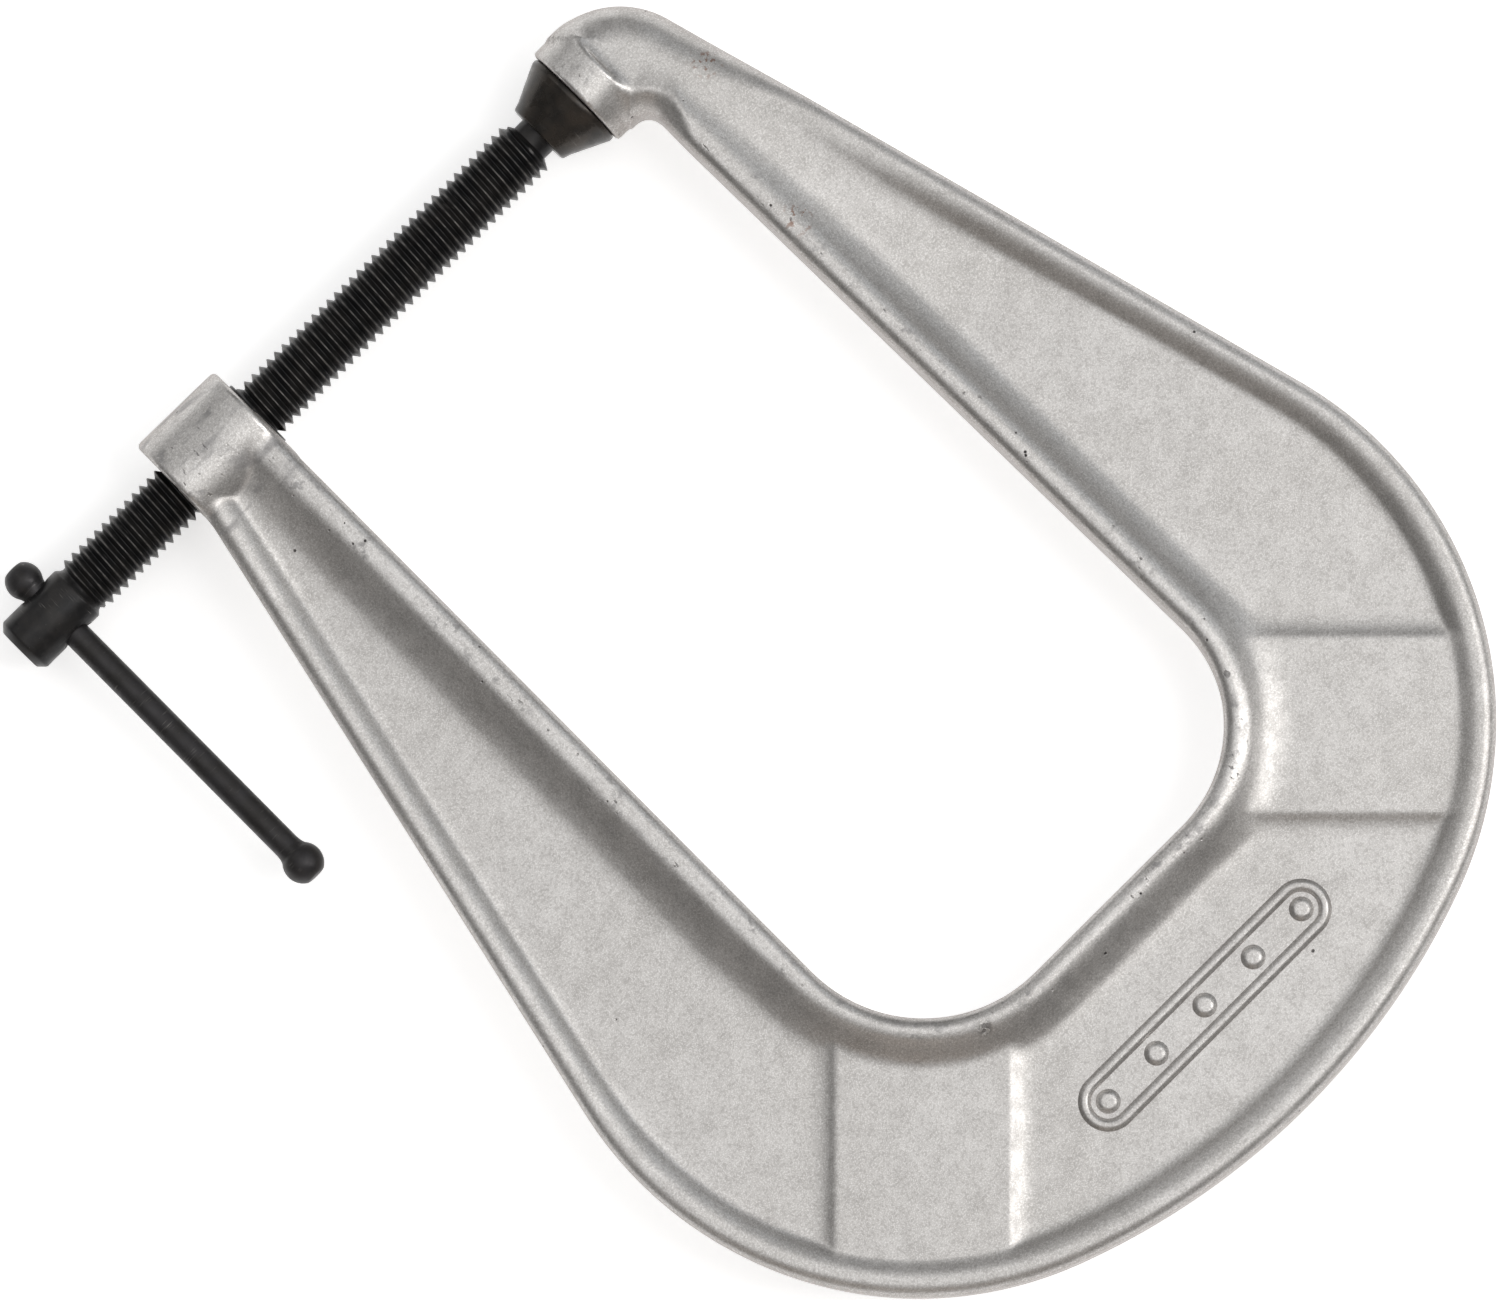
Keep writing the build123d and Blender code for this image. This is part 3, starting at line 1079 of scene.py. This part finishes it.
@dataclass
class FoundryMark:
    """Raised band and pips on the web behind the throat, with coved feet."""

    centre_x: float
    centre_y: float
    seat: float
    length: float = 56.0
    width: float = 9.6
    height: float = 1.1
    pips: int = 5
    sunk_by: float = 0.5
    foot_sink: float = 0.02
    band_inset: float = 0.75
    band_crown: float = 0.25
    band_steep: float = 0.9
    band_reach: float = 1.75
    pip_crown: float = 1.0
    pip_steep: float = 1.9
    pip_reach: float = 2.9
    pip_segments: int = 48

    def rise(self, off: np.ndarray, crown: float, steep: float, reach: float) -> np.ndarray:
        """Height above the web at a distance from the middle of a raised line or pip."""
        return self.seat - self.foot_sink + self.height * (1.0 - sunk(off, crown, steep, reach))

    def band(self, spacing: float) -> tuple[np.ndarray, np.ndarray]:
        """Closed racetrack band.

        Args:
            spacing: Distance between sections along the band.

        Returns:
            Vertices and quads.
        """
        radius = self.width / 2 - self.band_inset
        ends = (self.length - self.width) / 2
        half = math.pi * radius
        total = 2 * (2 * ends + half)
        run = np.linspace(0.0, total, round(total / spacing), endpoint=False)
        lap = run % (2 * ends + half)
        side = np.where(run < 2 * ends + half, 1.0, -1.0)
        turn = np.clip(lap - 2 * ends, 0.0, half) / radius
        along = side * np.where(lap < 2 * ends, lap - ends, ends)
        way = np.stack((side * np.sin(turn), side * np.cos(turn)), 1)
        off = np.linspace(-self.band_reach, self.band_reach, 17)
        top = self.rise(np.abs(off), self.band_crown, self.band_steep, self.band_reach)
        off = np.concatenate((off, off[::-1][[0, -1]]))
        top = np.concatenate((top, [self.seat - self.sunk_by] * 2))
        place = (radius + off)[None, :, None] * way[:, None, :]
        grid = np.zeros((len(run), len(off), 3))
        grid[..., :2] = place
        grid[..., 0] += along[:, None]
        grid[..., 2] = top
        return grid.reshape(-1, 3), closed_quads(len(run), len(off))

    def pip(self, place: float) -> tuple[np.ndarray, np.ndarray]:
        """One round pip.

        Args:
            place: Where it stands along the mark.

        Returns:
            Vertices and quads.
        """
        off = np.linspace(0.0, self.pip_reach, 14)
        top = self.rise(off, self.pip_crown, self.pip_steep, self.pip_reach)
        off = np.concatenate((off, [self.pip_reach, 0.0]))
        top = np.concatenate((top, [self.seat - self.sunk_by] * 2))
        angle = np.linspace(0.0, 2 * math.pi, self.pip_segments, endpoint=False)
        grid = np.zeros((self.pip_segments, len(off), 3))
        grid[..., 0] = place + np.cos(angle)[:, None] * off
        grid[..., 1] = np.sin(angle)[:, None] * off
        grid[..., 2] = top
        return grid.reshape(-1, 3), closed_quads(self.pip_segments, len(off))

    def build(self) -> Piece:
        """Make the mark's mesh."""
        ends = (self.length - self.width) / 2
        shells = [self.band(0.4)] + [self.pip(place) for place in np.linspace(-ends, ends, self.pips)]
        points, faces, count = [], [], 0
        for vertices, quads in shells:
            points.append(vertices)
            faces.append(quads + count)
            count += len(vertices)
        vertices = np.concatenate(points) + (self.centre_x, self.centre_y, 0.0)
        piece = new_piece("foundry_mark", *welded(vertices, np.concatenate(faces)), 60.0)
        dress(piece, CastAluminium("cast_aluminium_mark").material(), Body.FRAME, ())
        return piece


@dataclass
class Screw:
    """The spindle: ball, neck, helical thread and plain head with its cross hole."""

    pitch: float = 25.4 / 14
    depth: float = 1.02
    neck_radius: float = 3.7
    neck_length: float = 2.1
    ball_radius: float = 4.4
    head_radius: float = 5.4
    head_length: float = 14.4
    head_round: float = 0.5
    head_chamfer: float = 1.3
    hole_from_end: float = 8.8
    hole_radius: float = 2.46
    hole_round: float = 0.35
    clearance: float = 0.5
    lead_in: float = 1.1
    run_out: float = 0.9
    shoulder: float = 0.6
    crease: float = 32.0
    segments: int = 72

    def __post_init__(self) -> None:
        """Read what the CAD model settles."""
        low, high = node_box("screw")
        self.end_x = low.x
        self.ball_x = high.x - self.ball_radius
        self.crest = high.z
        self.thread_end = self.end_x + self.head_length
        self.thread_start = node_box("swivel_pad")[0].x - self.neck_length

    def tooth(self) -> Points:
        """One ridge as (share of the pitch, radius), from crest to crest."""
        root = self.crest - self.depth
        return [
            (0.0, self.crest - 0.02),
            (0.02, self.crest),
            (0.08, self.crest),
            (0.10, self.crest - 0.02),
            (0.30, (self.crest + root) / 2),
            (0.49, root + 0.05),
            (0.53, root),
            (0.59, root),
            (0.63, root + 0.05),
            (0.81, (self.crest + root) / 2),
        ]

    def build(self) -> Piece:
        """Make the screw's mesh."""
        tooth = self.tooth()
        turns = math.ceil((self.thread_start - self.thread_end) / self.pitch) + 2
        start = self.thread_start + self.pitch
        rows = [(start - (n + share) * self.pitch, radius) for n in range(turns) for share, radius in tooth]
        turn = np.linspace(0.0, 1.0, self.segments, endpoint=False)
        place = np.array([p[0] for p in rows])[:, None] - turn[None, :] * self.pitch
        radius = np.array([p[1] for p in rows])[:, None] + 0.0 * turn
        root = self.crest - self.depth
        last_x = self.thread_end + self.clearance
        lead_in = np.clip(self.thread_start - place, 0.0, self.lead_in) / self.lead_in
        run_out = np.clip(place - self.thread_end - self.clearance, 0.0, self.run_out) / self.run_out
        radius = np.minimum(radius, blend(self.neck_radius, self.crest, lead_in))
        radius = root + (radius - root) * np.where(radius > root, run_out, 1.0)
        radius = np.where(place >= self.thread_start, self.neck_radius, radius)
        radius = np.where(place <= last_x, root, radius)
        place = np.clip(place, last_x, self.thread_start)
        reach = math.sqrt(self.ball_radius**2 - self.neck_radius**2)
        ball_turn = math.atan2(self.neck_radius, -reach)
        ball = [
            (self.ball_x + self.ball_radius * math.cos(t), self.ball_radius * math.sin(t))
            for t in np.linspace(0.0, ball_turn, 20)
        ]
        head = rounded_profile(
            [
                (last_x, root, 0.0),
                (self.thread_end, self.head_radius - self.shoulder, 0.0),
                (self.thread_end - self.shoulder, self.head_radius, self.head_round),
                (self.end_x + self.head_chamfer, self.head_radius, 0.6),
                (self.end_x, self.head_radius - self.head_chamfer, 0.4),
                (self.end_x, 0.0, 0.0),
            ]
        )
        first = np.array(ball + [(self.thread_start, self.neck_radius)])
        last = np.array(head)
        grid_x = np.concatenate((first[:, :1] + 0.0 * turn, place, last[:, :1] + 0.0 * turn))
        grid_r = np.concatenate((first[:, 1:] + 0.0 * turn, radius, last[:, 1:] + 0.0 * turn))
        angle = 2 * math.pi * turn[None, :]
        grid = np.stack((grid_x, grid_r * np.cos(angle), grid_r * np.sin(angle)), 2)
        ring = np.arange(grid.shape[0] * self.segments).reshape(-1, self.segments)
        across = np.roll(ring, -1, axis=1)
        faces = np.stack((ring[:-1], ring[1:], across[1:], across[:-1]), 2)
        faces = self.seam(faces, ring, len(first), len(rows), len(tooth))
        piece = new_piece("screw_spindle", *welded(grid.reshape(-1, 3), faces), self.crease)
        reach = 2 * self.head_radius
        flare = self.hole_radius + self.hole_round
        mouth = math.sqrt(self.head_radius**2 - self.hole_radius**2)
        cutter = lathe(
            "cutter",
            [
                (-reach, 0.0),
                (-reach, flare + reach - mouth),
                (-mouth, flare),
                (-mouth + self.hole_round, self.hole_radius),
                (mouth - self.hole_round, self.hole_radius),
                (mouth, flare),
                (reach, flare + reach - mouth),
                (reach, 0.0),
            ],
            1,
            48,
        )
        cutter.data.transform(Matrix.Translation(Vector((self.end_x + self.hole_from_end, 0.0, 0.0)) * MM))
        bored(piece, cutter, self.crease)
        finish = BlackOxide("black_oxide_screw", crest_mm=self.crest)
        dress(piece, finish.material(), Body.SPINDLE, ("screw",))
        return piece

    def seam(self, faces: np.ndarray, ring: np.ndarray, first: int, rows: int, teeth: int) -> np.ndarray:
        """Join the thread to itself one pitch along, where its last column meets its first.

        Args:
            faces: Quads by row and column.
            ring: Vertex numbers by row and column.
            first: Rows before the thread.
            rows: Rows of the thread.
            teeth: Rows per pitch.

        Returns:
            All quads, one per line.
        """
        row = np.arange(len(ring))
        threaded = (row >= first) & (row < first + rows)
        partner = np.where(threaded, np.clip(row + teeth, first, first + rows - 1), row)
        across = ring[partner, 0]
        faces[:, -1, 2] = across[1:]
        faces[:, -1, 3] = across[:-1]
        return faces.reshape(-1, 4)


@dataclass
class SwivelPad:
    """Conical pad with a straight band at its face and a lip crimped over the ball."""

    band: float = 1.0
    small_radius: float = 5.85
    edge: float = 0.45
    floor: float = 0.82
    socket_radius: float = 4.48
    lip_radius: float = 4.0

    def build(self) -> Piece:
        """Make the pad's mesh."""
        low, high = node_box("swivel_pad")
        face, end, rim = high.x, low.x, high.z
        centre = face - self.floor - self.socket_radius
        outside = rounded_profile(
            [
                (face, 0.0, 0.0),
                (face, rim, self.edge),
                (face - self.band, rim, 0.3),
                (end + 1.5, self.small_radius + 0.5, 0.7),
                (end, self.small_radius, self.edge),
                (end, self.lip_radius, 0.12),
                (end + 1.0, self.lip_radius, 0.0),
            ]
        )
        start = math.pi - math.asin(self.lip_radius / self.socket_radius)
        socket = [
            (centre + self.socket_radius * math.cos(t), self.socket_radius * math.sin(t))
            for t in np.linspace(start, 0.0, 24)
        ]
        piece = lathe("swivel_pad_cone", outside + socket, 0)
        # Painted sheen: the lighter brown cloud colour, spread by noise over the cone, stands in for the soft
        # brownish highlight down its middle; the base is the pad's own brown-black.
        brown_and_painted_sheen = {"base": (0.024, 0.022, 0.020), "cloud": (0.048, 0.040, 0.033)}
        finish = BlackOxide("black_oxide_pad", roughness=0.26, wear=0.25, **brown_and_painted_sheen)
        dress(piece, finish.material(), Body.PAD, ("swivel_pad",))
        return piece


@dataclass
class Bushing:
    """Flanged sleeve pressed into the boss."""

    flange: float = 0.5
    sleeve_radius: float = 6.33
    chamfer: float = 0.15
    clearance: float = 0.08

    def build(self) -> Piece:
        """Make the bushing's mesh."""
        low, high = node_box("threaded_bushing")
        bore = node_box("screw")[1].z + self.clearance
        cut = self.chamfer
        profile = [
            (low.x, bore + cut),
            (low.x, self.sleeve_radius - cut),
            (low.x + cut, self.sleeve_radius),
            (high.x - self.flange, self.sleeve_radius),
            (high.x - self.flange, high.z),
            (high.x - cut, high.z),
            (high.x, high.z - cut),
            (high.x, bore + cut),
            (high.x - cut, bore),
            (low.x + cut, bore),
        ]
        piece = lathe("threaded_sleeve", profile[::-1], 0)
        finish = BlackOxide("black_oxide_sleeve")
        dress(piece, finish.material(), Body.FRAME, ("threaded_bushing",))
        return piece


@dataclass
class TommyBar:
    """Sliding handle: a rod that swells into a ball at each end."""

    rod_radius: float = 2.38
    near_radius: float = 3.3
    far_radius: float = 3.6
    flat_radius: float = 1.9
    swell: float = 0.35
    stem_length: float = 1.6
    cap_rise: float = 0.1
    cap_round: float = 0.35

    def ball(self, centre: float, radius: float, way: int) -> Points:
        """Profile of one end, from its flat end to the rod.

        Args:
            centre: Centre of the ball.
            radius: Its radius.
            way: 1 when its end points to +Y and -1 when it points to -Y.

        Returns:
            Points (y, radius), starting at the axis.
        """
        flat = math.asin(self.flat_radius / radius)
        stem = math.pi - math.asin((self.rod_radius + self.swell) / radius)
        cap = centre + way * (radius * math.cos(flat) + self.cap_rise)
        points = [(cap, 0.0), (cap, self.flat_radius - self.cap_round)]
        for t in np.linspace(flat, stem, 26):
            points.append((centre + way * radius * math.cos(t), radius * math.sin(t)))
        root = radius * math.cos(stem)
        for share in (0.2, 0.5, 1.0):
            swell = self.swell * (1.0 - share) ** 2
            points.append((centre + way * (root - self.stem_length * share), self.rod_radius + swell))
        return points

    def build(self) -> Piece:
        """Make the handle's mesh."""
        low, high = node_box("tommy_bar")
        near = self.ball(high.y - self.near_radius, self.near_radius, 1)
        far = self.ball(low.y + self.far_radius, self.far_radius, -1)
        rod = [(y, self.rod_radius) for y in np.linspace(near[-1][0], far[-1][0], 60)[1:-1]]
        piece = lathe("tommy_bar_rod", near + rod + far[::-1], 1, 72)
        middle = (low + high) / 2
        piece.data.transform(Matrix.Translation(Vector((middle.x, 0.0, middle.z)) * MM))
        finish = BlackOxide("black_oxide_bar", base=(0.040, 0.038, 0.040), roughness=0.42, turned_axis=1)
        dress(piece, finish.material(), Body.HANDLE, ("tommy_bar",))
        return piece


@dataclass
class Studio:
    """Pale floor, soft lights and the camera."""

    floor_size: float = 6.0
    floor_gap: float = 0.0005
    distance: float = 2.2
    tilt: float = 5.2
    tilt_towards: tuple[float, float] = (-0.193, -0.981)
    target: Place = (-0.0459, -0.0888, 0.0)
    view_width: float = 0.2568
    roll: float = 0.2
    sensor: float = 36.0
    floor_glow: float = 0.55
    world_strength: float = 0.20
    world_tint: Colour = (1.0, 0.985, 0.97)

    def floor(self) -> None:
        """Make the plain pale floor."""
        half = self.floor_size / 2
        z = CAD_BOUNDS[0][2] - self.floor_gap
        corners = np.array([(-half, -half, z), (half, -half, z), (half, half, z), (-half, half, z)]) / MM
        floor = new_piece("studio_floor", corners, [[0, 1, 2, 3]])
        r = Recipe("pale_floor")
        r.feed(r.shader.inputs["Base Color"], (0.92, 0.92, 0.92))
        r.feed(r.shader.inputs["Roughness"], 0.9)
        r.feed(r.shader.inputs["Emission Color"], WHITE)
        r.feed(r.shader.inputs["Emission Strength"], self.floor_glow)
        floor.data.materials.append(r.material)

    def softbox(
        self, name: str, place: Place, size: tuple[float, float], power: float, tint: Colour = WHITE
    ) -> None:
        """Hang an area light that faces the clamp.

        Args:
            name: Name of the light.
            place: Where it hangs, in metres from the camera's target.
            size: Width and height in metres.
            power: Watts.
            tint: Colour of the light.
        """
        light = bpy.data.lights.new(name, "AREA")
        light.shape = "RECTANGLE"
        light.size, light.size_y = size
        light.energy = power
        light.color = tint
        lamp = bpy.data.objects.new(name, light)
        lamp.location = Vector(self.target) + Vector(place)
        lamp.rotation_euler = (-Vector(place)).to_track_quat("-Z", "Y").to_euler()
        bpy.context.scene.collection.objects.link(lamp)

    def light(self) -> None:
        """Set the world and hang the lights."""
        scene = bpy.context.scene
        scene.view_settings.view_transform = "Standard"
        world = bpy.data.worlds.new("studio")
        world.use_nodes = True
        sky = world.node_tree.nodes["Background"]
        sky.inputs["Color"].default_value = (*self.world_tint, 1.0)
        sky.inputs["Strength"].default_value = self.world_strength
        scene.world = world
        self.softbox("overhead", (0.1, 0.1, 3.0), (2.3, 2.3), 9.0)
        self.softbox("canopy", (0.1, 0.1, 3.1), (4.4, 4.4), 23.5)
        self.softbox("side", (1.0, -1.0, 1.75), (0.6, 1.6), 15.0, (1.0, 0.985, 0.97))
        self.softbox("rear", (2.4, 0.2, 1.7), (2.0, 2.0), 6.0, (0.90, 0.95, 1.0))
        self.softbox("left", (0.0, 2.3, 1.5), (2.0, 1.6), 5.0)
        self.softbox("warm", (-1.8, -1.5, 1.3), (2.2, 2.2), 3.5, (1.0, 0.82, 0.68))

    def camera(self) -> None:
        """Aim the camera."""
        tilt = math.radians(self.tilt)
        towards = Vector((*self.tilt_towards, 0.0)).normalized()
        back = (Vector((0.0, 0.0, 1.0)) * math.cos(tilt) + towards * math.sin(tilt)).normalized()
        skew = math.tan(math.radians(self.roll))
        up = Vector((1.0 - skew, 1.0 + skew, 0.0))
        right = up.cross(back).normalized()
        up = back.cross(right)
        cam = bpy.data.cameras.new("camera")
        cam.sensor_width = self.sensor
        cam.lens = self.sensor * self.distance / self.view_width
        cam.clip_end = 50.0
        shot = bpy.data.objects.new("camera", cam)
        turn = Matrix((right, up, back)).transposed().to_4x4()
        shot.matrix_world = Matrix.Translation(Vector(self.target) + back * self.distance) @ turn
        bpy.context.scene.collection.objects.link(shot)
        bpy.context.scene.camera = shot


def report(piece: Piece) -> None:
    """Log what a piece came out as."""
    size = ", ".join(f"{side / MM:.1f}" for side in piece.dimensions)
    log.info("%s: %d faces, %s mm", piece.name, len(piece.data.polygons), size)


def main() -> None:
    """Build the studio and the clamp."""
    logging.basicConfig(level=logging.INFO, format="%(name)s: %(message)s")
    studio = Studio()
    studio.floor()
    studio.light()
    studio.camera()
    casting = CastFrame()
    mark = FoundryMark(casting.middle_x, (casting.back_y - casting.throat_depth) / 2, casting.web_half)
    for part in (casting, mark, Bushing(), Screw(), SwivelPad(), TommyBar()):
        report(part.build())
    bpy.context.view_layer.update()


if __name__ == "__main__":
    main()
